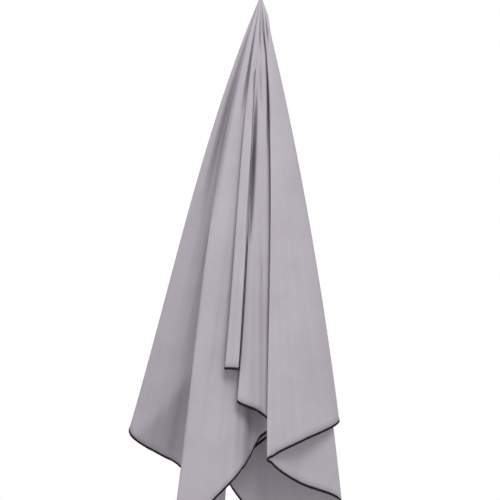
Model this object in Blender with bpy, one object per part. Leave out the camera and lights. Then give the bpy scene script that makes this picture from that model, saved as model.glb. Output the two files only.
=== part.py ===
# Quick dry towel hanging by the loop at the middle of one long side.
# Metres, +Z up, front face towards -Y. The origin is where a hook carries the loop's tape.

import math

import bmesh
import bpy
import numpy as np
from mathutils import Vector

# Flat towel
TOWEL_LENGTH = 1.40
TOWEL_WIDTH = 0.80
CLOTH_THICKNESS = 0.0008

# Overlocked hem
SEAM_WIDTH = 0.0044
SEAM_THICKNESS = 0.0020
FIT_GAP = 0.0003
SEAM_GAP = 0.0009

# Hanging loop of folded tape
LOOP_INNER_WIDTH = 0.024
LOOP_INNER_HEIGHT = 0.046
TAPE_WIDTH = 0.010
TAPE_THICKNESS = 0.0014
TAPE_END_GAP = 0.0020
TACK_WIDTH = TAPE_END_GAP + 2.0 * TAPE_THICKNESS + 0.0062
TACK_DEPTH = TAPE_WIDTH + 0.003
TACK_HEIGHT = 0.0080

# The gathered neck starts this far from the point the cloth hangs by
NECK_RADIUS = 0.5 * TACK_DEPTH + 0.001
FULL_THICKNESS_RADIUS = 0.16
FOLD_ROUNDING = 0.8
TILT = 1.5
EDGE_SHIFT = 8.0
RADIAL_SHARES = (0.0, 0.02, 0.06, 0.11, 0.18, 0.28, 0.40, 0.54, 0.68, 0.84, 1.0)

# The cloth swings about the centre of the bar tack's rounded lower side.
TACK_TOP = LOOP_INNER_HEIGHT + 2.0 * FIT_GAP
POINT_BELOW_HOOK = TACK_TOP + TACK_HEIGHT

# Folds from the left half of the top edge round to the right half.
# Each row: direction in the flat cloth, then how far right the fold hangs near the neck,
# half way and at the hem, then how far it stands forward. All in degrees seen from the hung point.
FOLDS = [
    (0.0, -3.0, -3.3, -3.6, 8.0),
    (3.2, -8.6, -6.0, -5.7, 6.8),
    (6.5, -5.4, -4.6, -4.4, 3.0),
    (13.5, 3.4, 2.2, 1.4, 1.7),
    (19.5, -1.4, -2.1, -2.5, 4.3),
    (22.4, -1.3, -2.9, -3.85, 6.0),
    (25.4, 1.2, 0.1, -0.7, 4.7),
    (27.5, 3.0, 1.9, 0.9, 4.4),
    (31.0, 6.0, 4.0, 2.6, 1.0),
    (34.5, 0.5, -0.5, -1.1, 0.8),
    (37.3, -1.7, -2.0, -2.1, -0.6),
    (42.3, -10.0, -7.2, -5.7, 2.4),
    (48.0, -16.4, -12.2, -9.45, 4.2),
    (51.8, -12.0, -8.9, -7.0, 0.6),
    (55.0, -6.8, -5.0, -4.1, -1.2),
    (71.0, -21.9, -18.4, -16.7, -6.0),
    (80.0, -11.5, -9.9, -9.0, -8.5),
    (89.5, 0.0, 0.2, 0.5, -6.8),
    (99.5, 13.7, 11.95, 10.1, -4.0),
    (105.5, 8.6, 6.9, 5.5, 2.6),
    (111.8, 3.7, 2.2, 0.65, 5.8),
    (118.3, 7.2, 5.5, 4.2, 0.2),
    (124.5, 12.4, 10.9, 9.3, -3.65),
    (132.0, 3.2, 2.6, 2.0, -5.0),
    (141.0, -6.0, -5.2, -4.3, -5.2),
    (145.0, -2.6, -2.0, -1.15, -2.4),
    (151.0, 4.2, 3.6, 3.0, -1.2),
    (156.0, 8.0, 7.0, 6.0, -2.0),
    (160.5, 4.2, 3.6, 3.0, -2.5),
    (168.0, -2.4, -2.0, -1.6, -3.9),
    (173.0, 2.2, 1.9, 1.6, -4.45),
    (180.0, 7.4, 6.4, 5.6, -3.5),
]

NEAR_RADIUS = 0.10
MIDDLE_RADIUS = 0.45
FAR_RADIUS = 0.90

HALF_LENGTH = 0.5 * TOWEL_LENGTH
HEM_INSET = SEAM_WIDTH + SEAM_GAP
CORNER_ANGLE = math.degrees(math.atan2(TOWEL_WIDTH, HALF_LENGTH))


def clear_scene():
    for existing in list(bpy.data.objects):
        bpy.data.objects.remove(existing, do_unlink=True)


def fold_lines_at(radius):
    """Flat direction, sideways angle and forward angle of every fold line at one distance from the hung point."""
    table = np.array(FOLDS)
    reach = min(max(radius, 0.5 * NEAR_RADIUS), 1.15 * FAR_RADIUS)
    near = (reach - MIDDLE_RADIUS) * (reach - FAR_RADIUS)
    near /= (NEAR_RADIUS - MIDDLE_RADIUS) * (NEAR_RADIUS - FAR_RADIUS)
    middle = (reach - NEAR_RADIUS) * (reach - FAR_RADIUS)
    middle /= (MIDDLE_RADIUS - NEAR_RADIUS) * (MIDDLE_RADIUS - FAR_RADIUS)
    far = (reach - NEAR_RADIUS) * (reach - MIDDLE_RADIUS)
    far /= (FAR_RADIUS - NEAR_RADIUS) * (FAR_RADIUS - MIDDLE_RADIUS)
    sideways = near * table[:, 1] + middle * table[:, 2] + far * table[:, 3]
    return table[:, 0], sideways, table[:, 4]


def hung_point(flat_x, flat_y):
    """Where a point of the flat cloth hangs. flat_x runs along the top edge, flat_y is the distance below it."""
    radius = math.hypot(flat_x, flat_y)
    direction = math.degrees(math.atan2(flat_y, -flat_x))
    directions, sideways, forward = fold_lines_at(radius)
    before = 2.0 * directions[0] - directions[1]
    after = 2.0 * directions[-1] - directions[-2]
    directions = np.concatenate([[before], directions, [after]])
    sideways = np.concatenate([[2 * sideways[0] - sideways[1]], sideways, [2 * sideways[-1] - sideways[-2]]])
    forward = np.concatenate([[2 * forward[0] - forward[1]], forward, [2 * forward[-1] - forward[-2]]])
    spread = direction + FOLD_ROUNDING * np.linspace(-1.0, 1.0, 9)
    weights = np.array([0.5, 1, 1, 1, 1, 1, 1, 1, 0.5])
    weights /= weights.sum()
    side = math.radians(float(np.dot(weights, np.interp(spread, directions, sideways))))
    front = math.radians(float(np.dot(weights, np.interp(spread, directions, forward))) + TILT)
    x = radius * math.sin(side) * math.cos(front)
    y = -radius * math.sin(front)
    z = -radius * math.cos(side) * math.cos(front)
    return Vector((x, y, z - POINT_BELOW_HOOK))


def flat_normal(flat_x, flat_y):
    """Unit normal of the hung cloth, and its unit direction for a step right and a step down in the flat cloth."""
    step = 0.0005
    right = hung_point(flat_x + step, flat_y) - hung_point(flat_x - step, flat_y)
    down = hung_point(flat_x, flat_y + step) - hung_point(flat_x, flat_y - step)
    right.normalize()
    down.normalize()
    normal = right.cross(down)
    normal.normalize()
    return normal, right, down


def thinning(radius):
    """The gathered cloth is squeezed close to the neck."""
    return min(1.0, radius / FULL_THICKNESS_RADIUS)


def outline_radius(direction, half_length, width):
    """Distance from the hung point to the cloth's outline in one flat direction."""
    turn = math.radians(direction)
    reach = 10.0
    if abs(math.cos(turn)) > 1e-9:
        reach = min(reach, half_length / abs(math.cos(turn)))
    if math.sin(turn) > 1e-9:
        reach = min(reach, width / math.sin(turn))
    return reach


def shifted(ray, radius):
    """Rays next to the top edge move inwards a little, to leave room for its hem."""
    inset = math.degrees(math.asin(min(0.09, HEM_INSET / radius)))
    direction = ray + inset * max(0.0, 1.0 - ray / EDGE_SHIFT)
    return direction - inset * max(0.0, 1.0 - (180.0 - ray) / EDGE_SHIFT)


def ray_directions():
    """Flat directions of the mesh's rays: close together round each fold, wider between folds."""
    corners = [row[0] for row in FOLDS]
    rays = {0.0, 180.0}
    for corner in corners:
        for share in (-1.0, -0.45, 0.0, 0.45, 1.0):
            ray = corner + share * FOLD_ROUNDING
            if 0.0 < ray < 180.0:
                rays.add(round(ray, 4))
    for first, second in zip(corners[:-1], corners[1:]):
        count = int((second - first) // 5.0)
        for index in range(count):
            rays.add(round(first + (second - first) * (index + 1) / (count + 1), 4))
    rays.add(round(CORNER_ANGLE, 4))
    rays.add(round(180.0 - CORNER_ANGLE, 4))
    ordered = sorted(rays)
    kept = [ordered[0]]
    for ray in ordered[1:]:
        if ray - kept[-1] > 0.15:
            kept.append(ray)
    kept[-1] = 180.0
    return kept


def make_object(name, points, faces, material):
    mesh = bpy.data.meshes.new(name)
    mesh.from_pydata([tuple(point) for point in points], [], faces)
    mesh.update()
    mesh.materials.append(material)
    made = bpy.data.objects.new(name, mesh)
    bpy.context.scene.collection.objects.link(made)
    return made


def make_material(name, color, roughness):
    material = bpy.data.materials.new(name)
    material.use_nodes = True
    shader = material.node_tree.nodes["Principled BSDF"]
    shader.inputs["Base Color"].default_value = (color[0], color[1], color[2], 1.0)
    shader.inputs["Roughness"].default_value = roughness
    return material


def tube(sections):
    """Points and faces of a closed solid through a row of equal cross sections."""
    sides = len(sections[0])
    points = [point for section in sections for point in section]
    faces = []
    for row in range(len(sections) - 1):
        for side in range(sides):
            following = (side + 1) % sides
            faces.append((
                row * sides + side,
                row * sides + following,
                (row + 1) * sides + following,
                (row + 1) * sides + side,
            ))
    faces.append(tuple(reversed(range(sides))))
    faces.append(tuple((len(sections) - 1) * sides + side for side in range(sides)))
    return points, faces


# The cloth: one sheet, folded along rays that all meet at the hung point.

def build_cloth(material):
    rays = ray_directions()
    front = []
    back = []
    for ray in rays:
        reach = outline_radius(ray, HALF_LENGTH - HEM_INSET, TOWEL_WIDTH - HEM_INSET)
        for share in RADIAL_SHARES:
            radius = NECK_RADIUS + (reach - NECK_RADIUS) * share
            direction = math.radians(shifted(ray, radius))
            flat_x = -radius * math.cos(direction)
            flat_y = radius * math.sin(direction)
            flat_x = min(max(flat_x, HEM_INSET - HALF_LENGTH), HALF_LENGTH - HEM_INSET)
            flat_y = min(flat_y, TOWEL_WIDTH - HEM_INSET)
            normal = flat_normal(flat_x, flat_y)[0]
            half = 0.5 * CLOTH_THICKNESS * thinning(radius)
            middle = hung_point(flat_x, flat_y)
            front.append(middle - half * normal)
            back.append(middle + half * normal)
    rows = len(RADIAL_SHARES)
    columns = len(rays)
    offset = rows * columns
    faces = []
    for column in range(columns - 1):
        for row in range(rows - 1):
            a = column * rows + row
            b = (column + 1) * rows + row
            faces.append((a, a + 1, b + 1, b))
            faces.append((offset + a, offset + b, offset + b + 1, offset + a + 1))
    for column in range(columns - 1):
        a = column * rows
        b = (column + 1) * rows
        faces.append((a, b, offset + b, offset + a))
        a += rows - 1
        b += rows - 1
        faces.append((a, offset + a, offset + b, b))
    for row in range(rows - 1):
        a = row
        faces.append((a, offset + a, offset + a + 1, a + 1))
        b = (columns - 1) * rows + row
        faces.append((b, b + 1, offset + b + 1, offset + b))
    return make_object("towel_cloth", front + back, faces, material)


# The overlocked hem: a flat bead of thread just outside the cloth, one seam for each run.

def bead_section(outer, inner):
    """Six points of the bead's cross section between its outer and inner edge in the flat cloth."""
    middle_x = 0.5 * (outer[0] + inner[0])
    middle_y = 0.5 * (outer[1] + inner[1])
    normal = flat_normal(middle_x, middle_y)[0]
    first = hung_point(outer[0], outer[1])
    second = hung_point(inner[0], inner[1])
    middle = 0.5 * (first + second)
    outward = 0.5 * (first - second)
    half_thickness = 0.5 * SEAM_THICKNESS * thinning(math.hypot(middle_x, middle_y))
    shape = ((1.0, 0.0), (0.5, 1.0), (-0.5, 1.0), (-1.0, 0.0), (-0.5, -1.0), (0.5, -1.0))
    return [middle + outward * u + normal * (half_thickness * v) for u, v in shape]


def build_bead(name, route, material):
    points, faces = tube([bead_section(outer, inner) for outer, inner in route])
    made = make_object(name, points, faces, material)
    volume = 0.0
    for polygon in made.data.polygons:
        corner = made.data.vertices[polygon.vertices[0]].co
        volume += corner.dot(polygon.normal) * polygon.area
    if volume < 0.0:
        made.data.flip_normals()
    return made


def on_ray(ray, trim):
    """Where a ray meets the cloth's outline drawn in by trim."""
    reach = outline_radius(ray, HALF_LENGTH - trim, TOWEL_WIDTH - trim)
    turn = math.radians(shifted(ray, reach))
    reach = outline_radius(math.degrees(turn), HALF_LENGTH - trim, TOWEL_WIDTH - trim)
    return (-reach * math.cos(turn), reach * math.sin(turn))


def build_hems(material):
    corner_gap = SEAM_WIDTH + 2.0 * SEAM_GAP
    inner_reach = HALF_LENGTH - HEM_INSET
    tops = [NECK_RADIUS + (inner_reach - NECK_RADIUS) * share for share in RADIAL_SHARES[2:]]
    tops.append(HALF_LENGTH - FIT_GAP)
    route = [((-radius, 0.0), (-radius, SEAM_WIDTH * thinning(radius))) for radius in tops]
    build_bead("hem_top_left", route, material)
    route = [((radius, 0.0), (radius, SEAM_WIDTH * thinning(radius))) for radius in tops]
    build_bead("hem_top_right", route, material)
    left = []
    right = []
    bottom = []
    for ray in ray_directions():
        outer = on_ray(ray, 0.0)
        inner = on_ray(ray, SEAM_WIDTH)
        low = min(outer[1], inner[1])
        if ray < CORNER_ANGLE and low > corner_gap + 0.003 and outer[1] < TOWEL_WIDTH - 0.006:
            left.append((outer, inner))
        elif ray > 180.0 - CORNER_ANGLE and low > corner_gap + 0.003 and outer[1] < TOWEL_WIDTH - 0.006:
            right.append((outer, inner))
        elif outer[1] > TOWEL_WIDTH - 0.001 and abs(outer[0]) < HALF_LENGTH - corner_gap - 0.003:
            bottom.append((outer, inner))
    outside = HALF_LENGTH
    inside = HALF_LENGTH - SEAM_WIDTH
    end = TOWEL_WIDTH - FIT_GAP
    route = [((-outside, corner_gap), (-inside, corner_gap))] + left + [((-outside, end), (-inside, end))]
    build_bead("hem_left_side", route, material)
    route = [((outside, corner_gap), (inside, corner_gap))] + right[::-1] + [((outside, end), (inside, end))]
    build_bead("hem_right_side", route, material)
    level = TOWEL_WIDTH - SEAM_WIDTH
    reach = HALF_LENGTH - corner_gap
    first = ((-reach, TOWEL_WIDTH), (-reach, level))
    last = ((reach, TOWEL_WIDTH), (reach, level))
    build_bead("hem_bottom", [first] + bottom + [last], material)


# The hanging loop: tape folded into an eye, both ends side by side in the bar tack.

def build_loop(material):
    half_tape = 0.5 * TAPE_THICKNESS
    crown = 0.5 * LOOP_INNER_WIDTH + half_tape
    foot = 0.5 * TAPE_END_GAP + half_tape
    base = FIT_GAP - POINT_BELOW_HOOK
    shoulder = -0.5 * LOOP_INNER_WIDTH
    waist = -LOOP_INNER_HEIGHT
    half = [(foot, base), (foot, waist)]
    steps = 6
    for index in range(1, steps):
        share = index / steps
        swell = share * share * (3.0 - 2.0 * share)
        half.append((foot + (crown - foot) * swell, waist + (shoulder - waist) * share))
    for index in range(9):
        turn = math.radians(90.0 * index / 8)
        half.append((crown * math.cos(turn), shoulder + crown * math.sin(turn)))
    line = [(-x, z) for x, z in half] + [(x, z) for x, z in half[-2::-1]]
    sections = []
    for index, (x, z) in enumerate(line):
        first = line[max(0, index - 1)]
        second = line[min(len(line) - 1, index + 1)]
        along = Vector((second[0] - first[0], 0.0, second[1] - first[1]))
        along.normalize()
        out = Vector((-along.z, 0.0, along.x))
        middle = Vector((x, 0.0, z))
        wide = Vector((0.0, 0.5 * TAPE_WIDTH, 0.0))
        sections.append([
            middle + half_tape * out - wide,
            middle + half_tape * out + wide,
            middle - half_tape * out + wide,
            middle - half_tape * out - wide,
        ])
    points, faces = tube(sections)
    made = make_object("loop_tape", points, faces, material)
    volume = 0.0
    for polygon in made.data.polygons:
        corner = made.data.vertices[polygon.vertices[0]].co
        volume += corner.dot(polygon.normal) * polygon.area
    if volume < 0.0:
        made.data.flip_normals()
    return made


def build_tack(material):
    """A block of stitching round both tape ends, open at the top where they go in and rounded underneath."""
    half_x = 0.5 * TACK_WIDTH
    half_y = 0.5 * TACK_DEPTH
    slot_x = 0.5 * TAPE_END_GAP + TAPE_THICKNESS + FIT_GAP
    slot_y = 0.5 * TAPE_WIDTH + FIT_GAP
    top = -TACK_TOP
    outline = [(-half_y, top)]
    for index in range(13):
        turn = math.radians(180.0 + 15.0 * index)
        outline.append((half_y * math.cos(turn), half_y * math.sin(turn) - POINT_BELOW_HOOK))
    outline.append((half_y, top))
    count = len(outline)
    points = [(-half_x, y, z) for y, z in outline] + [(half_x, y, z) for y, z in outline]
    mouth = len(points)
    corners = [(-slot_x, -slot_y), (slot_x, -slot_y), (slot_x, slot_y), (-slot_x, slot_y)]
    points += [(x, y, top) for x, y in corners]
    points += [(x, y, -POINT_BELOW_HOOK) for x, y in corners]
    faces = [tuple(reversed(range(count))), tuple(range(count, 2 * count))]
    for side in range(count - 1):
        faces.append((side, side + 1, count + side + 1, count + side))
    rim = [0, count, 2 * count - 1, count - 1]
    for side in range(4):
        following = (side + 1) % 4
        faces.append((rim[side], rim[following], mouth + following, mouth + side))
        faces.append((mouth + side, mouth + following, mouth + 4 + following, mouth + 4 + side))
    faces.append((mouth + 4, mouth + 5, mouth + 6, mouth + 7))
    made = make_object("loop_bar_tack", points, faces, material)
    worker = bmesh.new()
    worker.from_mesh(made.data)
    bmesh.ops.recalc_face_normals(worker, faces=worker.faces)
    worker.to_mesh(made.data)
    worker.free()
    return made


clear_scene()
build_cloth(make_material("microfibre", (0.42, 0.40, 0.43), 0.9))
build_hems(make_material("overlock_thread", (0.012, 0.010, 0.014), 0.8))
build_loop(make_material("loop_tape", (0.030, 0.028, 0.032), 0.7))
build_tack(make_material("tack_thread", (0.012, 0.010, 0.014), 0.8))
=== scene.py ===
import math

import bmesh
import bpy
import numpy as np
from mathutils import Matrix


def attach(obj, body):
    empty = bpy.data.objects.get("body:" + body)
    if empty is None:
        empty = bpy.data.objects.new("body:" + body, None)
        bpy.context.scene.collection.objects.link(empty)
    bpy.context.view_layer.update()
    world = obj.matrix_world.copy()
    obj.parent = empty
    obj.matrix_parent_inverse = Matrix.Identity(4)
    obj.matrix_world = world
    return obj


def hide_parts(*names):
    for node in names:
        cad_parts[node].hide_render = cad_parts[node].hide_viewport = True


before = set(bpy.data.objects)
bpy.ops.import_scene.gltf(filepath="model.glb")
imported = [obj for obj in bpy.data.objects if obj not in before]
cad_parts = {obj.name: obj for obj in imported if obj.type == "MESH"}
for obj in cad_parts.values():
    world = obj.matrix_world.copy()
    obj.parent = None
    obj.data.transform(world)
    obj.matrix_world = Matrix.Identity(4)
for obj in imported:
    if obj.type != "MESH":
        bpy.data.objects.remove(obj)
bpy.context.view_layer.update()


# The towel cloth: one panel of thin grey microfibre with a suede face on both sides. It is cut flat and
# hung by the middle of a long side, so every fold runs from that point down to the hem.

TOWEL_LENGTH = 1.40
TOWEL_WIDTH = 0.80
HALF_LENGTH = 0.5 * TOWEL_LENGTH
CLOTH_THICKNESS = 0.0008
SEAM_WIDTH = 0.0044
NECK_RADIUS = 0.0069
HUNG_POINT = (0.0, 0.0, -0.0546)
TILT = 1.5

# Each row is a fold line: its direction in the flat cloth, how far right it hangs near the neck,
# half way and at the hem, and how far forward it stands near the neck and lower down. All in degrees
# seen from the hung point, from the left half of the top edge round to the right half.
FOLDS = (
    # the strip of the free edge, and round behind it to the right
    (0.0, -1.2, -2.6, -3.4, 6.8, 6.1),
    (3.2, -8.6, -6.0, -5.8, 6.2, 5.6),
    (6.5, -5.4, -4.6, -4.4, 4.3, 4.4),
    (13.5, 1.6, 1.1, 0.5, 2.6, 2.9),
    # the middle panel, from its left fold to its right one
    (19.5, -3.0, -2.2, -2.5, 4.7, 4.4),
    (22.4, -4.2, -3.0, -3.95, 5.2, 4.7),
    (25.4, 0.2, 0.1, -0.7, 5.0, 4.7),
    (27.5, 3.0, 1.6, 0.8, 5.0, 4.5),
    (29.1, 4.6, 2.6, 1.6, 1.0, 2.7),
    # behind the middle panel, and out as the front left panel
    (31.8, 2.0, 0.6, -0.2, -0.3, 0.9),
    (35.3, -1.0, -1.3, -1.25, 0.1, 0.5),
    (37.3, -2.6, -2.4, -2.3, 1.6, 2.5),
    (42.3, -10.0, -7.2, -5.7, 4.0, 3.9),
    (48.0, -16.4, -12.2, -9.45, 3.6, 4.0),
    # behind that panel, and out as the left flap
    (51.8, -12.0, -8.9, -7.0, -1.0, 0.6),
    (55.8, -6.8, -5.0, -4.1, -3.2, -2.5),
    (60.1, -12.4, -9.9, -8.6, -4.0, -3.2),
    (69.2, -21.9, -18.5, -17.0, -5.2, -4.9),
    # the back layer, from the left outline to the right one
    (80.0, -11.5, -9.9, -9.0, -8.0, -7.6),
    (89.5, 0.0, 0.2, 0.5, -6.4, -6.0),
    (99.5, 13.7, 11.95, 10.1, -4.0, -4.0),
    # the right panel, folded in front and turned back on itself
    (105.5, 9.4, 6.9, 5.5, 3.4, 2.6),
    (110.8, 5.95, 2.95, 1.42, 5.92, 5.29),
    (111.8, 5.3, 2.2, 0.65, 6.4, 5.8),
    (112.8, 5.65, 2.71, 1.2, 5.45, 4.94),
    (118.3, 7.6, 5.5, 4.2, 0.2, 0.2),
    (124.5, 12.4, 10.9, 9.3, -3.65, -3.65),
    # the hidden end, behind the rest
    (132.0, 3.2, 2.6, 2.0, -5.0, -5.0),
    (141.0, -6.0, -5.2, -4.3, -5.2, -5.2),
    (145.0, -2.6, -2.0, -1.15, -2.4, -2.4),
    (151.0, 4.2, 3.6, 3.0, -1.2, -1.2),
    (156.0, 8.0, 7.0, 6.0, -2.0, -2.0),
    (160.5, 4.2, 3.6, 3.0, -2.5, -2.5),
    (168.0, -2.4, -2.0, -1.6, -3.9, -3.9),
    (173.0, 2.2, 1.9, 1.6, -4.1, -4.1),
    (180.0, 7.4, 6.4, 5.6, -3.5, -3.5),
)
NEAR_RADIUS = 0.10
MIDDLE_RADIUS = 0.45
FAR_RADIUS = 0.90
CORNER_ANGLE = math.degrees(math.atan2(TOWEL_WIDTH, HALF_LENGTH))

# The narrow strip of the free left edge: the table's direction of its fold, and the flat width that
# lies in it, which grows a little on the way down.
STRIP_FOLD = 3.2
STRIP_END = 13.5
STRIP_WIDTH = 0.0105
STRIP_GROWTH = 0.0437

# The strip's edge is rolled under, tightly at the neck and less lower down. ROLL_PROBE is the small
# step across the cloth that gives its direction there.
ROLL_WIDTH = 0.0082
ROLL_RADIUS = 0.0016
ROLL_ANGLE = math.radians(168.0)
ROLL_ANGLE_LOW = math.radians(68.0)
ROLL_OPENS = (0.17, 0.34)
ROLL_STARTS = 0.02
ROLL_PROBE = 0.001

# The cloth between the strip and the next fold hangs a little higher from half way down, by SLACK_LIFT
# at these directions. It was bunched up at the neck.
SLACK_DIRECTIONS = (0.0, 3.4, 5.5, 18.0, 21.5, 180.0)
SLACK_LIFT = (0.0, 0.0, 0.011, 0.011, 0.0, 0.0)
SLACK_STARTS = (0.3, 0.65)

# Pleats and soft creases: first and last distance from the hung point, how far right at each of them,
# half width, depth, and how much of the depth is still there at the last distance. They are deepest in
# the front layers and fade out in the hindmost one.
PLEAT_BACK = -8.5
PLEAT_FRONT = 5.0
PLEATS = (
    # deep pleats, most of them near the neck
    (0.022, 0.110, 12.0, 7.0, 1.3, 7.0, 0.0),
    (0.015, 0.135, 0.6, 6.2, 0.7, 7.0, 0.0),
    (0.090, 0.300, 5.3, 2.5, 0.55, 7.0, 0.0),
    (0.005, 0.250, -9.8, -8.5, 0.8, 6.0, 0.0),
    (0.010, 0.480, -18.3, -13.5, 1.5, 12.0, 0.0),
    (0.010, 0.120, -3.2, -0.6, 0.7, 5.0, 0.0),
    (0.130, 0.480, -2.5, -3.0, 0.55, 8.0, 0.0),
    # shallow dents
    (0.495, 0.550, 0.30, -0.60, 0.25, 0.3, 0.0),
    (0.095, 0.205, -6.2, -4.0, 0.8, 1.5, 0.0),
    (0.100, 0.225, -1.1, -0.6, 0.8, 1.6, 0.0),
    # soft creases that run on down to the hem
    (0.330, 0.830, -0.9, -0.65, 0.9, 0.8, 1.0),
    (0.400, 0.900, 5.3, 4.6, 0.5, 0.22, 1.0),
    (0.550, 0.950, 8.2, 7.6, 0.7, 0.20, 1.0),
    (0.450, 1.050, -7.6, -7.2, 0.7, 0.22, 1.0),
    (0.300, 0.900, -14.6, -13.6, 0.9, 0.25, 1.0),
    (0.820, 1.060, -0.4, -0.3, 0.5, 0.45, 1.0),
)

# The left flap has one slanting crease: distance and sideways angle at its upper and lower end.
FLAP_STARTS = (56.0, 60.0)
FLAP_ENDS = (67.0, 76.0)
CREASE_TOP = (0.745, -11.6)
CREASE_FOOT = (0.860, -16.0)
CREASE_SLOPE = 0.62
CREASE_BEND = 0.25
CREASE_FADES_UP = (0.60, 0.74)
CREASE_FADES_ASIDE = (-11.0, -6.5)

# The right side of the neck stands out a little, widest at this distance below the hung point.
FLARE = 5.0
FLARE_DISTANCE = 0.034
FLARE_LENGTH = 0.024
FLARE_SIDE = (4.0, 13.0)

# Faint ripples all over the lower cloth, finer ones on wider ones, in degrees.
RIPPLE = 0.05
FINE_RIPPLE = 0.03
RIPPLE_STARTS = (0.2, 0.6)

# Near the hung point the hem and the strip's edge are narrower and thinner, in step with the distance.
FULL_SIZE_RADIUS = 0.16

# The grid of distances and directions for which the drape is worked out. SHORTEST_STEP is the least
# that two fold lines count as apart, in degrees.
TABLE_RADII = np.linspace(0.0, 1.08, 109)
TABLE_RAYS = np.linspace(0.0, 180.0, 1441)
SHORTEST_STEP = 0.05


def ease(value, low, high):
    share = np.clip((value - low) / (high - low), 0.0, 1.0)
    return share * share * (3.0 - 2.0 * share)


def fold_lines_at(radius):
    """Sideways and forward angle of every fold line at one distance from the hung point."""
    table = np.array(FOLDS)
    reach = min(max(radius, 0.5 * NEAR_RADIUS), 1.15 * FAR_RADIUS)
    near = (reach - MIDDLE_RADIUS) * (reach - FAR_RADIUS)
    near /= (NEAR_RADIUS - MIDDLE_RADIUS) * (NEAR_RADIUS - FAR_RADIUS)
    middle = (reach - NEAR_RADIUS) * (reach - FAR_RADIUS)
    middle /= (MIDDLE_RADIUS - NEAR_RADIUS) * (MIDDLE_RADIUS - FAR_RADIUS)
    far = (reach - NEAR_RADIUS) * (reach - MIDDLE_RADIUS)
    far /= (FAR_RADIUS - NEAR_RADIUS) * (FAR_RADIUS - MIDDLE_RADIUS)
    sideways = near * table[:, 1] + middle * table[:, 2] + far * table[:, 3]
    lower = ease(radius, NEAR_RADIUS, MIDDLE_RADIUS)
    forward = table[:, 4] * (1.0 - lower) + table[:, 5] * lower
    return sideways, forward


def between(at, start, end, first, second):
    """The value at one place on a straight line that is first at start and second at end."""
    return (end - at) / (end - start) * first + (at - start) / (end - start) * second


def rounded_folds(points, directions, rays):
    """A smooth line through the fold lines, turning over gently at each one (centripetal Catmull-Rom)."""
    first = 2.0 * points[0] - points[1]
    last = 2.0 * points[-1] - points[-2]
    ends = np.vstack([first, points, last])
    first_turn = 2.0 * directions[0] - directions[1]
    last_turn = 2.0 * directions[-1] - directions[-2]
    turns = np.concatenate([[first_turn], directions, [last_turn]])
    steps = np.sqrt(np.maximum(np.hypot(*(ends[1:] - ends[:-1]).T), SHORTEST_STEP))
    knots = np.concatenate([[0.0], np.cumsum(steps)])
    index = np.clip(np.searchsorted(turns, rays, side="right") - 1, 1, len(directions) - 1)
    share = (rays - turns[index]) / (turns[index + 1] - turns[index])
    at = (knots[index] + share * (knots[index + 1] - knots[index]))[:, None]
    knot = [knots[index + offset][:, None] for offset in (-1, 0, 1, 2)]
    point = [ends[index + offset] for offset in (-1, 0, 1, 2)]
    before = between(at, knot[0], knot[1], point[0], point[1])
    middle = between(at, knot[1], knot[2], point[1], point[2])
    after = between(at, knot[2], knot[3], point[2], point[3])
    before = between(at, knot[0], knot[2], before, middle)
    after = between(at, knot[1], knot[3], middle, after)
    return between(at, knot[1], knot[2], before, after)


def drape_table():
    """Sideways and forward angles for every distance and direction, ready to look up."""
    directions = np.array([row[0] for row in FOLDS])
    layers = []
    for radius in TABLE_RADII:
        sideways, forward = fold_lines_at(radius)
        layers.append(rounded_folds(np.column_stack([sideways, forward]), directions, TABLE_RAYS))
    return np.array(layers)


DRAPE = drape_table()


def widen_strip(radius, direction):
    """The table's direction for a flat direction, with room for the strip's own width near the neck."""
    safe = np.maximum(radius, 0.02)
    fold = np.degrees(np.arcsin(np.clip(STRIP_WIDTH / safe + STRIP_GROWTH, 0.0, 0.18)))
    inside = direction * STRIP_FOLD / fold
    beyond = STRIP_FOLD + (direction - fold) * (STRIP_END - STRIP_FOLD) / (STRIP_END - fold)
    return np.where(direction > STRIP_END, direction, np.where(direction < fold, inside, beyond))


def crease_depth(radius, side, direction):
    """How far back the lower right part of the left flap leans, beyond its slanting crease."""
    share = (radius - CREASE_TOP[0]) / (CREASE_FOOT[0] - CREASE_TOP[0])
    line = CREASE_TOP[1] + share * (CREASE_FOOT[1] - CREASE_TOP[1])
    beyond = np.maximum(side - line, 0.0)
    soft = beyond * beyond / (beyond + CREASE_BEND)
    fade = ease(radius, *CREASE_FADES_UP) * (1.0 - ease(side, *CREASE_FADES_ASIDE))
    on_flap = ease(direction, *FLAP_STARTS) * (1.0 - ease(direction, *FLAP_ENDS))
    return CREASE_SLOPE * soft * fade * on_flap


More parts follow.
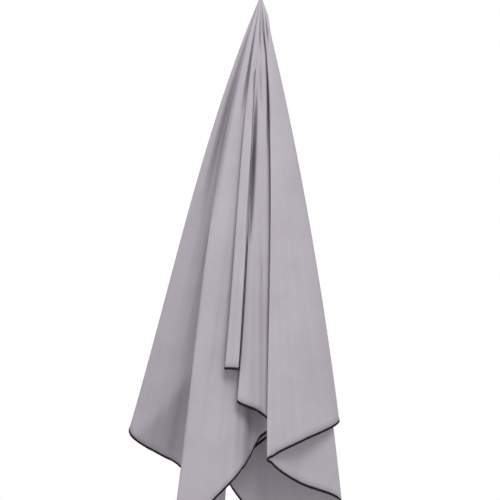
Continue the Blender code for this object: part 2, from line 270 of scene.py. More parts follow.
def place(radius, direction):
    """Hung places of points of the cloth, from their distance and flat direction."""
    row = np.clip(radius / TABLE_RADII[1], 0, len(TABLE_RADII) - 1.001)
    column = np.clip(widen_strip(radius, direction) / TABLE_RAYS[1], 0, len(TABLE_RAYS) - 1.001)
    low_row = row.astype(int)
    low_column = column.astype(int)
    row_share = (row - low_row)[:, None]
    column_share = (column - low_column)[:, None]
    angles = DRAPE[low_row, low_column] * (1 - row_share) * (1 - column_share)
    angles += DRAPE[low_row + 1, low_column] * row_share * (1 - column_share)
    angles += DRAPE[low_row, low_column + 1] * (1 - row_share) * column_share
    angles += DRAPE[low_row + 1, low_column + 1] * row_share * column_share
    side = angles[:, 0]
    front = angles[:, 1].copy()
    side = side + FLARE * np.exp(-(((radius - FLARE_DISTANCE) / FLARE_LENGTH) ** 2)) * ease(side, *FLARE_SIDE)
    layer = np.clip((front - PLEAT_BACK) / (PLEAT_FRONT - PLEAT_BACK), 0.0, 1.0)
    for first, last, side_first, side_last, half_width, depth, kept in PLEATS:
        share = np.clip((radius - first) / (last - first), 0.0, 1.0)
        centre = side_first + share * (side_last - side_first)
        growing = ease(share, 0.0, 0.5)
        fading = kept + (1 - kept) * ease(1 - share, 0.0, 0.5)
        strength = np.where(share < 0.5, growing, fading)
        front -= depth * layer * strength * np.exp(-(((side - centre) / half_width) ** 2))
    ripple = RIPPLE * np.sin(2.9 * side + 1.3 * np.sin(5.0 * radius))
    ripple += FINE_RIPPLE * np.sin(5.3 * side + 2.0 + 6.0 * radius)
    front += ripple * ease(radius, *RIPPLE_STARTS)
    front -= crease_depth(radius, side, direction)
    lift = np.interp(direction, SLACK_DIRECTIONS, SLACK_LIFT) * ease(radius, *SLACK_STARTS)
    hung = radius - lift
    side = np.radians(side)
    front = np.radians(front + TILT)
    x = hung * np.sin(side) * np.cos(front)
    y = -hung * np.sin(front)
    z = -hung * np.cos(side) * np.cos(front)
    return np.column_stack([x, y, z]) + np.array(HUNG_POINT)


def hang(flat_x, flat_y):
    """Hung places of points of the flat cloth, as rows x, y, z. The strip's edge rolls under."""
    flat_x = np.asarray(flat_x, float)
    flat_y = np.asarray(flat_y, float)
    radius = np.maximum(np.hypot(flat_x, flat_y), 1e-6)
    points = place(radius, np.degrees(np.arctan2(flat_y, -flat_x)))
    scale = np.minimum(1.0, radius / FULL_SIZE_RADIUS)
    opened = ease(radius, *ROLL_OPENS)
    rolled = (flat_x < 0.0) & (flat_y < ROLL_WIDTH * scale) & (radius > ROLL_STARTS)
    if not rolled.any():
        return points
    reach = radius[rolled]
    scale = scale[rolled]
    start = np.degrees(np.arcsin(np.minimum(0.9, ROLL_WIDTH * scale / reach)))
    beside = np.degrees(np.arcsin(np.minimum(0.95, (ROLL_WIDTH + ROLL_PROBE) * scale / reach)))
    base = place(reach, start)
    across = base - place(reach, beside)
    across /= np.linalg.norm(across, axis=1)[:, None]
    down = base - np.array(HUNG_POINT)
    down /= np.linalg.norm(down, axis=1)[:, None]
    back = np.cross(across, down)
    back *= np.where(back[:, 1] < 0.0, -1.0, 1.0)[:, None]
    curve = ROLL_RADIUS * scale
    length = ROLL_WIDTH * scale - flat_y[rolled]
    most = ROLL_ANGLE + (ROLL_ANGLE_LOW - ROLL_ANGLE) * opened[rolled]
    turn = np.minimum(length / curve, most)
    straight = np.maximum(length - curve * most, 0.0)
    out = curve * np.sin(turn) + straight * np.cos(turn)
    under = curve * (1.0 - np.cos(turn)) + straight * np.sin(turn)
    points[rolled] = base + across * out[:, None] + back * under[:, None]
    return points


def outline_radius(direction, trim):
    """Distance from the hung point to the cloth's outline, drawn in by trim, in each flat direction."""
    turn = np.radians(direction)
    to_side = (HALF_LENGTH - trim) / np.maximum(np.abs(np.cos(turn)), 1e-9)
    to_foot = (TOWEL_WIDTH - trim) / np.maximum(np.sin(turn), 1e-9)
    return np.minimum(to_side, to_foot)


def deselect():
    bpy.ops.object.select_all(action="DESELECT")


def rename(name):
    made = bpy.context.view_layer.objects.active
    made.name = name
    made.data.name = name
    return made


def read_points(made):
    points = np.empty(len(made.data.vertices) * 3)
    made.data.vertices.foreach_get("co", points)
    return points.reshape(-1, 3)


def write_points(made, points):
    made.data.vertices.foreach_set("co", np.ascontiguousarray(points).reshape(-1))
    made.data.update()


def write_flat_map(made, flat):
    """A UV map named flat, in metres along the piece's own surface, from one row for each vertex."""
    layers = made.data.uv_layers
    layer = layers[0] if layers else layers.new(name="flat")
    layer.name = "flat"
    corners = np.empty(len(made.data.loops), np.int32)
    made.data.loops.foreach_get("vertex_index", corners)
    layer.data.foreach_set("uv", np.ascontiguousarray(flat[corners]).reshape(-1))


def face_outwards():
    bpy.ops.object.mode_set(mode="EDIT")
    bpy.ops.mesh.select_all(action="SELECT")
    bpy.ops.mesh.normals_make_consistent(inside=False)
    bpy.ops.object.mode_set(mode="OBJECT")
    bpy.ops.object.shade_smooth()


# The mesh: rays out from the hung point, closer together along the top edge, and rows across them.
EDGE_ANGLE = 4.0
EDGE_RAYS = 26
INNER_RAYS = 600
ROW_COUNT = 68
ROW_CROWDING = 1.25
edge_rays = np.linspace(0.0, EDGE_ANGLE, EDGE_RAYS)
inner_rays = np.linspace(EDGE_ANGLE, 180.0 - EDGE_ANGLE, INNER_RAYS)[1:-1]
for corner in (CORNER_ANGLE, 180.0 - CORNER_ANGLE):
    inner_rays[np.argmin(np.abs(inner_rays - corner))] = corner
rays = np.concatenate([edge_rays, inner_rays, 180.0 - edge_rays[::-1]])
deselect()
bpy.ops.mesh.primitive_grid_add(x_subdivisions=ROW_COUNT - 1, y_subdivisions=len(rays) - 1, size=1.0)
cloth = rename("cloth_panel")
reach = outline_radius(rays, 0.5 * SEAM_WIDTH)
share = np.linspace(0.0, 1.0, ROW_COUNT) ** ROW_CROWDING
radius = NECK_RADIUS + (reach[:, None] - NECK_RADIUS) * share[None, :]
turn = np.radians(rays)[:, None]
flat_x = (-radius * np.cos(turn)).reshape(-1)
flat_y = (radius * np.sin(turn)).reshape(-1)
write_points(cloth, hang(flat_x, flat_y))
write_flat_map(cloth, np.column_stack([flat_x, -flat_y]))
bpy.ops.object.shade_smooth()
thickness = cloth.modifiers.new("thickness", "SOLIDIFY")
thickness.thickness = CLOTH_THICKNESS
thickness.offset = 0.0
bpy.ops.object.modifier_apply(modifier="thickness")


def new_material(name, roughness):
    """A material with its shader, ready for the nodes that colour it."""
    material = bpy.data.materials.new(name)
    material.use_nodes = True
    shader = material.node_tree.nodes["Principled BSDF"]
    shader.inputs["Roughness"].default_value = roughness
    return material, material.node_tree, shader


def add_node(tree, kind, **values):
    """A node with its settings and the values of its inputs."""
    node = tree.nodes.new(kind)
    for name, value in values.items():
        if hasattr(node, name):
            setattr(node, name, value)
        else:
            node.inputs[name.replace("_", " ")].default_value = value
    return node


def noise(tree, vector, scale, detail, roughness):
    node = add_node(tree, "ShaderNodeTexNoise", Detail=detail, Roughness=roughness)
    node.inputs["Scale"].default_value = scale
    tree.links.new(vector, node.inputs["Vector"])
    return node.outputs["Fac"]


def stretch(tree, source, from_low, from_high, to_low, to_high):
    node = add_node(tree, "ShaderNodeMapRange")
    limits = (from_low, from_high, to_low, to_high)
    for socket, value in zip(("From Min", "From Max", "To Min", "To Max"), limits):
        node.inputs[socket].default_value = value
    tree.links.new(source, node.inputs["Value"])
    return node.outputs["Result"]


def compute(tree, operation, first, second):
    node = add_node(tree, "ShaderNodeMath", operation=operation)
    for socket, value in zip(node.inputs, (first, second)):
        if isinstance(value, (int, float)):
            socket.default_value = value
        else:
            tree.links.new(value, socket)
    return node.outputs["Value"]


def mix_colors(tree, blend, factor, first, second):
    node = add_node(tree, "ShaderNodeMix", data_type="RGBA", blend_type=blend)
    for label, value in (("Factor", factor), ("A", first), ("B", second)):
        socket = node.inputs[label]
        if isinstance(value, (int, float)):
            socket.default_value = value
        elif isinstance(value, tuple):
            socket.default_value = (value[0], value[1], value[2], 1.0)
        else:
            tree.links.new(value, socket)
    return node.outputs["Result"]


def new_group(name, numbers, colors=()):
    """A shader node group with Vector and these other inputs. It puts out Color, Roughness and Height."""
    group = bpy.data.node_groups.new(name, "ShaderNodeTree")
    sockets = group.interface
    sockets.new_socket(name="Vector", in_out="INPUT", socket_type="NodeSocketVector")
    for label, value in numbers:
        made = sockets.new_socket(name=label, in_out="INPUT", socket_type="NodeSocketFloat")
        made.default_value = value
    for label, value in colors:
        made = sockets.new_socket(name=label, in_out="INPUT", socket_type="NodeSocketColor")
        made.default_value = (value[0], value[1], value[2], 1.0)
    sockets.new_socket(name="Color", in_out="OUTPUT", socket_type="NodeSocketColor")
    sockets.new_socket(name="Roughness", in_out="OUTPUT", socket_type="NodeSocketFloat")
    sockets.new_socket(name="Height", in_out="OUTPUT", socket_type="NodeSocketFloat")
    given = group.nodes.new("NodeGroupInput").outputs
    result = group.nodes.new("NodeGroupOutput").inputs
    return group, given, result


def linked_noise(tree, vector, scale, detail, roughness):
    fac = noise(tree, vector, scale=1.0, detail=detail, roughness=roughness)
    tree.links.new(scale, fac.node.inputs["Scale"])
    return fac


FIBRE_SCALE = (520.0, 130.0, 1.0)
FIBRE_LEAN = 0.35
LINT_COLOR = (0.62, 0.61, 0.64)


def suede_group():
    """Brushed microfibre: soft patches where the nap lies another way, fine grain and a few pale fibres."""
    colors = (("Light", (0.5, 0.5, 0.5)), ("Dark", (0.4, 0.4, 0.4)))
    group, given, result = new_group("suede_nap", (("Patch Scale", 9.0), ("Grain Scale", 1400.0)), colors)
    patches = linked_noise(group, given["Vector"], given["Patch Scale"], detail=5.0, roughness=0.62)
    brushed = stretch(group, patches, 0.36, 0.64, 0.0, 1.0)
    tone = mix_colors(group, "MIX", brushed, given["Dark"], given["Light"])
    grain = linked_noise(group, given["Vector"], given["Grain Scale"], detail=2.0, roughness=0.6)
    speck = stretch(group, grain, 0.25, 0.75, 0.90, 1.06)
    speck_color = add_node(group, "ShaderNodeCombineColor")
    for channel in ("Red", "Green", "Blue"):
        group.links.new(speck, speck_color.inputs[channel])
    grained = mix_colors(group, "MULTIPLY", 1.0, tone, speck_color.outputs["Color"])
    sheared = add_node(group, "ShaderNodeMapping")
    sheared.inputs["Scale"].default_value = FIBRE_SCALE
    sheared.inputs["Rotation"].default_value = (0.0, 0.0, FIBRE_LEAN)
    group.links.new(given["Vector"], sheared.inputs["Vector"])
    fibre = noise(group, sheared.outputs["Vector"], scale=1.0, detail=2.0, roughness=0.55)
    lint = stretch(group, fibre, 0.70, 0.80, 0.0, 0.22)
    colored = mix_colors(group, "MIX", lint, grained, LINT_COLOR)
    group.links.new(colored, result["Color"])
    group.links.new(stretch(group, patches, 0.3, 0.7, 0.96, 0.80), result["Roughness"])
    grain_height = compute(group, "MULTIPLY", grain, 0.6)
    fibre_height = compute(group, "MULTIPLY", fibre, 0.4)
    height = compute(group, "ADD", grain_height, fibre_height)
    group.links.new(height, result["Height"])
    return group


def use_group(tree, shader, group, vector, values, strength, distance):
    """A group placed in a material, with its values, feeding colour, roughness and bump."""
    node = add_node(tree, "ShaderNodeGroup", node_tree=group)
    for label, value in values.items():
        if isinstance(value, tuple):
            value = (value[0], value[1], value[2], 1.0)
        node.inputs[label].default_value = value
    tree.links.new(vector, node.inputs["Vector"])
    bump = add_node(tree, "ShaderNodeBump", Strength=strength, Distance=distance)
    tree.links.new(node.outputs["Color"], shader.inputs["Base Color"])
    tree.links.new(node.outputs["Roughness"], shader.inputs["Roughness"])
    tree.links.new(node.outputs["Height"], bump.inputs["Height"])
    tree.links.new(bump.outputs["Normal"], shader.inputs["Normal"])


CLOTH_LIGHT = (0.464, 0.431, 0.475)
CLOTH_DARK = (0.428, 0.394, 0.440)
CLOTH_BUMP = 0.22
CLOTH_BUMP_DEPTH = 0.0003

cloth_material, tree, shader = new_material("microfibre_suede", 0.88)
shader.inputs["Sheen Weight"].default_value = 0.15
shader.inputs["Sheen Roughness"].default_value = 0.45
shader.inputs["Specular IOR Level"].default_value = 0.2
flat_map = add_node(tree, "ShaderNodeUVMap", uv_map="flat")
suede = suede_group()
values = {"Light": CLOTH_LIGHT, "Dark": CLOTH_DARK, "Patch Scale": 9.0, "Grain Scale": 1400.0}
use_group(tree, shader, suede, flat_map.outputs["UV"], values, CLOTH_BUMP, CLOTH_BUMP_DEPTH)
cloth.data.materials.append(cloth_material)
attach(cloth, "towel")
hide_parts("towel_cloth")


# The overlocked hem: black thread sewn over the raw edge all round, so it lies as a narrow rounded band
# on both faces of the cloth. Slanting wraps of thread go round a core, and a line of needle stitches
# holds them on the cloth. Each run of sewing is its own piece.

HEM_THICKNESS = 0.0019
HEM_STEP = 0.0022
CORE_SIDES = 10
TOP_START = 0.030

# Each wrap begins as a ring of radius 1 with a thread of radius RING_THREAD, and is then given its size.
STITCH_PITCH = 0.0019
THREAD_RADIUS = 0.00034
THREAD_LIFT = 0.0001
RING_THREAD = 0.2
WRAP_BEND = 0.2
THREAD_BUMP = 0.3
THREAD_BUMP_DEPTH = 0.0001
PLY_SLANT = 0.6

# A needle stitch: half its length in pitches, its place across the hem and above the hem's middle as
# shares of the half width and half thickness, and half its own width in thread radii.
NEEDLE_LENGTH = 0.42
NEEDLE_INSET = 0.86
NEEDLE_HEIGHT = 0.72
NEEDLE_WIDTH = 1.1

# In the flat maps the two faces of a band lie this far apart, so that they don't look the same.
FACE_OFFSET = 0.001


def edge_frames(start, end, inward, step, narrow):
    """Along one edge of the flat cloth: distance, hung middle of the hem, half its width and its normal."""
    start = np.array(start)
    way = np.array(end) - start
    length = float(np.hypot(*way))
    way /= length
    distance = np.linspace(0.0, length, int(length / step))
    flat = start + way * distance[:, None]
    width = np.full(len(distance), SEAM_WIDTH)
    if narrow:
        width *= np.minimum(1.0, np.abs(flat[:, 0]) / FULL_SIZE_RADIUS)
    inner = flat + np.array(inward) * width[:, None]
    first = hang(flat[:, 0], flat[:, 1])
    second = hang(inner[:, 0], inner[:, 1])
    middle = 0.5 * (first + second)
    across = 0.5 * (first - second)
    along = np.gradient(middle, axis=0)
    along /= np.linalg.norm(along, axis=1)[:, None]
    normal = np.cross(along, across)
    normal /= np.linalg.norm(normal, axis=1)[:, None]
    return distance, middle, across, normal


def at_distance(frames, distance):
    """The hem's middle, half width and normal at any distances along it."""
    grid = frames[0]
    found = []
    for values in frames[1:]:
        found.append(np.column_stack([np.interp(distance, grid, values[:, axis]) for axis in range(3)]))
    return found


def sweep(name, frames, sides, half_thickness, squareness=1.0):
    """A closed band that follows the frames. Its section is oval, and boxier with squareness below 1."""
    distance, middle, across, normal = frames
    rows = len(middle)
    deselect()
    bpy.ops.mesh.primitive_cylinder_add(vertices=sides, radius=1.0, depth=1.0, end_fill_type="NGON")
    made = rename(name)
    bpy.ops.object.mode_set(mode="EDIT")
    shape = bmesh.from_edit_mesh(made.data)
    uprights = [edge for edge in shape.edges if edge.verts[0].co.z * edge.verts[1].co.z < 0.0]
    bmesh.ops.subdivide_edges(shape, edges=uprights, cuts=rows - 2)
    bmesh.update_edit_mesh(made.data)
    bpy.ops.object.mode_set(mode="OBJECT")
    points = read_points(made)
    row = np.rint((points[:, 2] + 0.5) * (rows - 1)).astype(int)
    aside = np.sign(points[:, 0]) * np.abs(points[:, 0]) ** squareness
    above = np.sign(points[:, 1]) * np.abs(points[:, 1]) ** squareness
    half_width = np.linalg.norm(across, axis=1)
    write_flat_map(made, np.column_stack([distance[row], aside * half_width[row] + FACE_OFFSET * above]))
    offset = across[row] * aside[:, None] + normal[row] * (above * half_thickness)[:, None]
    write_points(made, middle[row] + offset)
    face_outwards()
    return made


def repeat_along(made, count):
    """Copies of the active piece, one unit apart along Z, as one mesh."""
    array = made.modifiers.new("copies", "ARRAY")
    array.use_relative_offset = False
    array.use_constant_offset = True
    array.constant_offset_displace = (0.0, 0.0, 1.0)
    array.count = count
    bpy.ops.object.modifier_apply(modifier="copies")


def thread_wraps(name, frames):
    """Slanting loops of thread round the hem, one for each stitch."""
    length = frames[0][-1]
    count = int(length / STITCH_PITCH)
    deselect()
    bpy.ops.mesh.primitive_torus_add(
        major_segments=8,
        minor_segments=4,
        major_radius=1.0,
        minor_radius=RING_THREAD,
    )
    made = rename(name)
    repeat_along(made, count)
    points = read_points(made)
    copy = np.rint(points[:, 2]).astype(int)
    ring = np.hypot(points[:, 0], points[:, 1])
    swell = (ring - 1.0) / RING_THREAD * THREAD_RADIUS
    aside = points[:, 0] / ring
    above = points[:, 1] / ring
    lean = 0.5 * STITCH_PITCH * aside * np.where(above > 0.0, 1.0, -1.0) * np.abs(above) ** WRAP_BEND
    distance = (copy + 0.5) * STITCH_PITCH + lean + (points[:, 2] - copy) / RING_THREAD * THREAD_RADIUS
    middle, across, normal = at_distance(frames, distance)
    half_width = np.linalg.norm(across, axis=1)
    unit = across / half_width[:, None]
    thin = half_width / (0.5 * SEAM_WIDTH)
    wide = half_width + (THREAD_LIFT + swell) * thin
    high = (0.5 * HEM_THICKNESS - THREAD_RADIUS + THREAD_LIFT + swell) * thin
    write_points(made, middle + unit * (wide * aside)[:, None] + normal * (high * above)[:, None])
    write_flat_map(made, np.column_stack([distance, half_width * aside + FACE_OFFSET * above]))
    face_outwards()
    return made


def needle_line(name, frames, face):
    """A row of short straight stitches along the hem's inner edge, on one face of the cloth."""
    length = frames[0][-1]
    count = int(length / STITCH_PITCH)
    deselect()
    bpy.ops.mesh.primitive_ico_sphere_add(subdivisions=1, radius=1.0)
    made = rename(name)
    points = read_points(made)
    write_points(made, points * (1.0, 1.0, NEEDLE_LENGTH))
    repeat_along(made, count)
    points = read_points(made)
    distance = (points[:, 2] + 0.5) * STITCH_PITCH
    middle, across, normal = at_distance(frames, distance)
    half_width = np.linalg.norm(across, axis=1)
    unit = across / half_width[:, None]
    thin = half_width / (0.5 * SEAM_WIDTH)
    wide = -half_width * NEEDLE_INSET + THREAD_RADIUS * NEEDLE_WIDTH * thin * points[:, 0]
    high = (face * 0.5 * HEM_THICKNESS * NEEDLE_HEIGHT + THREAD_RADIUS * points[:, 1]) * thin
    write_points(made, middle + unit * wide[:, None] + normal * high[:, None])
    write_flat_map(made, np.column_stack([distance, wide + FACE_OFFSET * points[:, 1]]))
    face_outwards()
    return made


def join_pieces(pieces, name):
    deselect()
    for piece in pieces:
        piece.select_set(True)
    bpy.context.view_layer.objects.active = pieces[0]
    bpy.ops.object.join()
    return rename(name)


def thread_group():
    """Sewing thread: plies twisted round each other, dull black with a little dust. The colour is painted
    lighter on the ply crests as a highlight and darker in the grooves as shade.
    """
    colors = (("Light", (0.03, 0.03, 0.03)), ("Dark", (0.01, 0.01, 0.01)))
    group, given, result = new_group("twisted_thread", (("Twist Scale", 900.0),), colors)
    slanted = add_node(group, "ShaderNodeMapping")
    slanted.inputs["Rotation"].default_value = (0.0, 0.0, PLY_SLANT)
    group.links.new(given["Vector"], slanted.inputs["Vector"])
    plies = add_node(group, "ShaderNodeTexWave", wave_type="BANDS", Distortion=1.5)
    plies.inputs["Detail Scale"].default_value = 2.0
    group.links.new(slanted.outputs["Vector"], plies.inputs["Vector"])
    group.links.new(given["Twist Scale"], plies.inputs["Scale"])
    dust = noise(group, given["Vector"], scale=60.0, detail=4.0, roughness=0.7)
    # Painted shade and highlight: the colour follows the ply bands, dark in the grooves and light on the
    # crests, in step with the bump.
    shade = compute(group, "MULTIPLY", plies.outputs["Fac"], stretch(group, dust, 0.3, 0.7, 0.4, 1.0))
    group.links.new(mix_colors(group, "MIX", shade, given["Dark"], given["Light"]), result["Color"])
    group.links.new(stretch(group, dust, 0.3, 0.7, 0.62, 0.82), result["Roughness"])
    group.links.new(plies.outputs["Fac"], result["Height"])
    return group


def thread_material(name, group, dark, light):
    material, tree, shader = new_material(name, 0.7)
    shader.inputs["Specular IOR Level"].default_value = 0.3
    flat_map = add_node(tree, "ShaderNodeUVMap", uv_map="flat")
    values = {"Light": light, "Dark": dark, "Twist Scale": 900.0}
    use_group(tree, shader, group, flat_map.outputs["UV"], values, THREAD_BUMP, THREAD_BUMP_DEPTH)
    return material


# The first colour is the thread's black with painted shade in the ply grooves, the second the painted
# highlight on the ply crests.
HEM_PAINTED_GROOVE_SHADE = (0.003, 0.0025, 0.004)
HEM_PAINTED_HIGHLIGHT = (0.010, 0.008, 0.012)
twist = thread_group()
overlock_thread = thread_material("overlock_thread", twist, HEM_PAINTED_GROOVE_SHADE, HEM_PAINTED_HIGHLIGHT)

# The corners of the flat cloth, and where a run starts or ends just inside a corner so that two runs
# meet there. Each run: piece, CAD node, flat start, flat end, the way inwards, and narrow near its start.
LEFT = (-HALF_LENGTH, 0.0)
LEFT_BELOW = (-HALF_LENGTH, 0.5 * SEAM_WIDTH)
LEFT_FOOT = (-HALF_LENGTH, TOWEL_WIDTH)
FOOT_START = (-HALF_LENGTH + 0.5 * SEAM_WIDTH, TOWEL_WIDTH)
FOOT_END = (HALF_LENGTH - 0.5 * SEAM_WIDTH, TOWEL_WIDTH)
RIGHT = (HALF_LENGTH, 0.0)
RIGHT_BELOW = (HALF_LENGTH, 0.5 * SEAM_WIDTH)
RIGHT_FOOT = (HALF_LENGTH, TOWEL_WIDTH)
HEM_RUNS = (
    ("hem_left", "hem_left_side", LEFT_BELOW, LEFT_FOOT, (1.0, 0.0), False),
    ("hem_foot", "hem_bottom", FOOT_START, FOOT_END, (0.0, -1.0), False),
    ("hem_right", "hem_right_side", RIGHT_BELOW, RIGHT_FOOT, (-1.0, 0.0), False),
    ("hem_top_a", "hem_top_left", (-TOP_START, 0.0), LEFT, (0.0, 1.0), True),
    ("hem_top_b", "hem_top_right", (TOP_START, 0.0), RIGHT, (0.0, 1.0), True),
)
for piece_name, node_name, start, end, inward, narrow in HEM_RUNS:
    frames = edge_frames(start, end, inward, HEM_STEP, narrow)
    thin = np.linalg.norm(frames[2], axis=1) / (0.5 * SEAM_WIDTH)
    core_frames = frames[:3] + (frames[3] * thin[:, None],)
    core = sweep(piece_name + "_core", core_frames, CORE_SIDES, 0.5 * HEM_THICKNESS - THREAD_RADIUS)
    pieces = [core, thread_wraps(piece_name + "_wraps", frames)]
    for face in (-1.0, 1.0):
        pieces.append(needle_line(piece_name + "_needle", frames, face))
    band = join_pieces(pieces, piece_name)
    band.data.materials.append(overlock_thread)
    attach(band, "towel")
    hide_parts(node_name)


# The hanging loop: one length of narrow woven tape folded into an eye, with both ends side by side where
# they are sewn to the middle of the towel's long side.

LOOP_INNER_WIDTH = 0.024
LOOP_INNER_HEIGHT = 0.046
TAPE_WIDTH = 0.010
TAPE_THICKNESS = 0.0014
TAPE_END_GAP = 0.0020
TAPE_SIDES = 24
TAPE_SQUARENESS = 0.45
FIT_GAP = 0.0003
LOOP_FOOT = HUNG_POINT[2] + FIT_GAP
CHEVRON_WIDTH = 0.0011
CHEVRON_SLOPE = 1.6
TAPE_BUMP = 0.6
TAPE_BUMP_DEPTH = 0.0002


def loop_line():
    """Points down the middle of the tape's thickness, from one end round the eye to the other."""
    half_tape = 0.5 * TAPE_THICKNESS
    crown = 0.5 * LOOP_INNER_WIDTH + half_tape
    foot = 0.5 * TAPE_END_GAP + half_tape
    shoulder = -0.5 * LOOP_INNER_WIDTH
    waist = -LOOP_INNER_HEIGHT
    half = [(foot, LOOP_FOOT + (waist - LOOP_FOOT) * share) for share in np.linspace(0.0, 1.0, 8)]
    for share in np.linspace(0.0, 1.0, 40)[1:-1]:
        spread = foot + (crown - foot) * ease(share, 0.0, 1.0)
        half.append((spread, waist + (shoulder - waist) * share))
    for turn in np.radians(np.linspace(0.0, 90.0, 28)):
        half.append((crown * math.cos(turn), shoulder + crown * math.sin(turn)))
    return np.array([(-x, z) for x, z in half] + [(x, z) for x, z in half[-2::-1]])


def weave_group():
    """Woven tape: a fine herringbone of warp ribs with the weft showing between them. The colour is painted
    lighter on the rib tops as a highlight and darker between the ribs as shade.
    """
    colors = (("Light", (0.05, 0.05, 0.05)), ("Dark", (0.01, 0.01, 0.01)))
    scales = (("Rib Scale", 420.0), ("Weft Scale", 620.0))
    group, given, result = new_group("tape_weave", scales, colors)
    parts = add_node(group, "ShaderNodeSeparateXYZ")
    group.links.new(given["Vector"], parts.inputs["Vector"])
    chevron = compute(group, "PINGPONG", parts.outputs["Y"], CHEVRON_WIDTH)
    slant = compute(group, "MULTIPLY", chevron, CHEVRON_SLOPE)
    rib_place = compute(group, "ADD", parts.outputs["X"], slant)
    placed = add_node(group, "ShaderNodeCombineXYZ")
    group.links.new(rib_place, placed.inputs["X"])
    group.links.new(parts.outputs["Y"], placed.inputs["Y"])
    ribs = add_node(group, "ShaderNodeTexWave", bands_direction="X", Distortion=0.3)
    group.links.new(placed.outputs["Vector"], ribs.inputs["Vector"])
    group.links.new(given["Rib Scale"], ribs.inputs["Scale"])
    weft = add_node(group, "ShaderNodeTexWave", bands_direction="Y", Distortion=0.3)
    group.links.new(given["Vector"], weft.inputs["Vector"])
    group.links.new(given["Weft Scale"], weft.inputs["Scale"])
    between = stretch(group, weft.outputs["Fac"], 0.0, 1.0, 0.55, 1.0)
    rib_height_and_shade = compute(group, "MULTIPLY", ribs.outputs["Fac"], between)
    # Painted shade and highlight: the colour follows the weave's height, darker between the ribs and lighter
    # on their tops.
    group.links.new(mix_colors(group, "MIX", rib_height_and_shade, given["Dark"], given["Light"]), result["Color"])
    worn = noise(group, given["Vector"], scale=180.0, detail=3.0, roughness=0.6)
    group.links.new(stretch(group, worn, 0.3, 0.7, 0.60, 0.80), result["Roughness"])
    group.links.new(rib_height_and_shade, result["Height"])
    return group


line = loop_line()
middle = np.column_stack([line[:, 0], np.zeros(len(line)), line[:, 1]])
along = np.gradient(middle, axis=0)
along /= np.linalg.norm(along, axis=1)[:, None]
across = np.tile((0.0, 0.5 * TAPE_WIDTH, 0.0), (len(line), 1))
steps = np.linalg.norm(np.diff(middle, axis=0), axis=1)
distance = np.concatenate([[0.0], np.cumsum(steps)])
normal = np.cross(along, across / (0.5 * TAPE_WIDTH))
tape_frames = (distance, middle, across, normal)
tape = sweep("loop_tape_woven", tape_frames, TAPE_SIDES, 0.5 * TAPE_THICKNESS, TAPE_SQUARENESS)
tape_material, tree, shader = new_material("loop_tape_webbing", 0.7)
shader.inputs["Specular IOR Level"].default_value = 0.3
flat_map = add_node(tree, "ShaderNodeUVMap", uv_map="flat")
# Light is the painted highlight on the rib tops, Dark the tape's black with painted shade between the ribs.
values = {
    "Light": (0.060, 0.056, 0.064),
    "Dark": (0.010, 0.009, 0.012),
    "Rib Scale": 420.0,
    "Weft Scale": 620.0,
}
use_group(tree, shader, weave_group(), flat_map.outputs["UV"], values, TAPE_BUMP, TAPE_BUMP_DEPTH)
tape.data.materials.append(tape_material)
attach(tape, "loop")
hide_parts("loop_tape")


# The bar tack: dense rounds of thread that bind both ends of the tape to the edge of the towel. Its
# underside is round, and the gathered neck of the cloth hangs below it.

TACK_WIDTH = 0.0110
TACK_DEPTH = 0.0130
TACK_HEIGHT = 0.0080
TACK_SHOULDERS = 0.45
TACK_ROUNDING = 0.0008
TACK_THREAD = 0.00046
TACK_ROUNDS = 12
TACK_WANDER = 0.25
# The tack thread's black with painted shade in the ply grooves, and the painted highlight on the ply crests.
TACK_PAINTED_GROOVE_SHADE = (0.004, 0.003, 0.005)
TACK_PAINTED_HIGHLIGHT = (0.014, 0.011, 0.016)


def tack_outline(turn, inset):
    """Y and Z on the side outline of the tack: a half circle below, rounded shoulders above."""
    radius = 0.5 * TACK_DEPTH - inset
    power = np.where(np.sin(turn) > 0.0, TACK_SHOULDERS, 1.0)
    y = radius * np.sign(np.cos(turn)) * np.abs(np.cos(turn)) ** power
    rise = (TACK_HEIGHT - inset) * np.maximum(np.sin(turn), 0.0) ** TACK_SHOULDERS
    z = np.where(np.sin(turn) > 0.0, rise, radius * np.sin(turn))
    return y, z + HUNG_POINT[2]


deselect()
bpy.ops.mesh.primitive_cylinder_add(vertices=32, radius=1.0, depth=TACK_WIDTH - 2.0 * TACK_THREAD)
tack_core = rename("tack_core")
points = read_points(tack_core)
y, z = tack_outline(np.arctan2(points[:, 1], points[:, 0]), TACK_THREAD)
write_points(tack_core, np.column_stack([points[:, 2], y, z]))
write_flat_map(tack_core, np.column_stack([points[:, 2], y]))
rounding = tack_core.modifiers.new("rounding", "BEVEL")
rounding.width = TACK_ROUNDING
rounding.segments = 2
rounding.limit_method = "ANGLE"
bpy.ops.object.modifier_apply(modifier="rounding")
face_outwards()

deselect()
bpy.ops.mesh.primitive_torus_add(
    major_segments=32,
    minor_segments=6,
    major_radius=1.0,
    minor_radius=RING_THREAD,
)
tack_rounds = rename("tack_rounds")
repeat_along(tack_rounds, TACK_ROUNDS)
points = read_points(tack_rounds)
copy = np.rint(points[:, 2])
ring = np.hypot(points[:, 0], points[:, 1])
swell = (ring - 1.0) / RING_THREAD * TACK_THREAD
turn = np.arctan2(points[:, 1], points[:, 0])
pitch = (TACK_WIDTH - 2.0 * TACK_THREAD) / TACK_ROUNDS
x = (copy + 0.5 - 0.5 * TACK_ROUNDS) * pitch + (points[:, 2] - copy) / RING_THREAD * TACK_THREAD
x += TACK_WANDER * pitch * np.sin(turn + copy)
y, z = tack_outline(turn, TACK_THREAD - swell)
write_points(tack_rounds, np.column_stack([x, y, z]))
write_flat_map(tack_rounds, np.column_stack([turn * 0.5 * TACK_DEPTH, x]))
face_outwards()
tack = join_pieces([tack_core, tack_rounds], "bar_tack")
tack.data.materials.append(thread_material("tack_thread", twist, TACK_PAINTED_GROOVE_SHADE, TACK_PAINTED_HIGHLIGHT))
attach(tack, "loop")
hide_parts("loop_bar_tack")


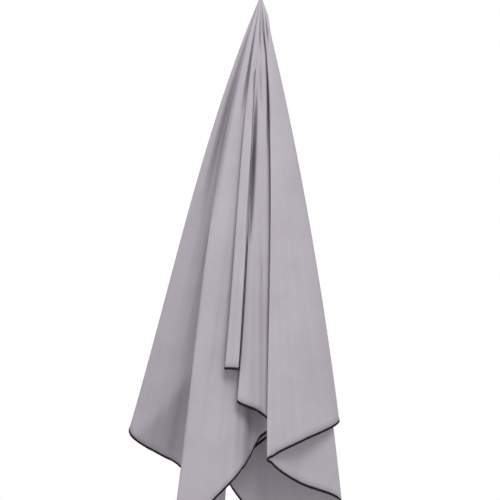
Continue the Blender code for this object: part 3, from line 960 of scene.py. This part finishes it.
# The studio: a pale floor well below the towel, a white surround, and one large soft light in front, up
# and to the right.

FLOOR_HEIGHT = -1.35
FLOOR_SIZE = 4.4
FLOOR_DARK = (0.78, 0.78, 0.78)
FLOOR_LIGHT = (0.82, 0.82, 0.82)
deselect()
bpy.ops.mesh.primitive_plane_add(size=FLOOR_SIZE, location=(0.0, 0.0, FLOOR_HEIGHT))
floor = rename("floor")
floor_material, tree, shader = new_material("pale_floor", 0.9)
coordinates = add_node(tree, "ShaderNodeTexCoord")
mottle = noise(tree, coordinates.outputs["Object"], scale=3.0, detail=3.0, roughness=0.5)
mottled = mix_colors(tree, "MIX", mottle, FLOOR_DARK, FLOOR_LIGHT)
tree.links.new(mottled, shader.inputs["Base Color"])
floor.data.materials.append(floor_material)

SURROUND_LIGHT = 0.62
world = bpy.data.worlds.new("surround")
bpy.context.scene.world = world
world.use_nodes = True
sky = world.node_tree.nodes["Background"]
sky.inputs["Color"].default_value = (1.0, 1.0, 1.0, 1.0)
sky.inputs["Strength"].default_value = SURROUND_LIGHT
seen = world.node_tree.nodes.new("ShaderNodeBackground")
seen.inputs["Color"].default_value = (1.0, 1.0, 1.0, 1.0)
seen.inputs["Strength"].default_value = 1.0
light_path = world.node_tree.nodes.new("ShaderNodeLightPath")
chooser = world.node_tree.nodes.new("ShaderNodeMixShader")
world.node_tree.links.new(light_path.outputs["Is Camera Ray"], chooser.inputs["Fac"])
world.node_tree.links.new(sky.outputs["Background"], chooser.inputs[1])
world.node_tree.links.new(seen.outputs["Background"], chooser.inputs[2])
world.node_tree.links.new(chooser.outputs["Shader"], world.node_tree.nodes["World Output"].inputs["Surface"])
bpy.context.scene.view_settings.view_transform = "Standard"


def add_light(name, place, target, size, power):
    light = bpy.data.lights.new(name, "AREA")
    light.shape = "SQUARE"
    light.size = size
    light.energy = power
    holder = bpy.data.objects.new(name, light)
    bpy.context.scene.collection.objects.link(holder)
    holder.location = place
    way = np.array(target) - np.array(place)
    holder.rotation_euler = (
        math.atan2(math.hypot(way[0], way[1]), -way[2]),
        0.0,
        math.atan2(way[1], way[0]) - 0.5 * math.pi,
    )


add_light("soft_front", place=(0.55, -2.2, 1.25), target=(0.0, 0.0, -0.5), size=1.2, power=45.0)

CAMERA_DISTANCE = 3.2
VIEW_WIDTH = 0.9325
VIEW_CENTRE = (-0.0205, -0.530)
camera_data = bpy.data.cameras.new("camera")
camera_data.sensor_width = 36.0
camera_data.lens = camera_data.sensor_width * CAMERA_DISTANCE / VIEW_WIDTH
camera = bpy.data.objects.new("camera", camera_data)
bpy.context.scene.collection.objects.link(camera)
camera.location = (VIEW_CENTRE[0], -CAMERA_DISTANCE, VIEW_CENTRE[1])
camera.rotation_euler = (0.5 * math.pi, 0.0, 0.0)
bpy.context.scene.camera = camera
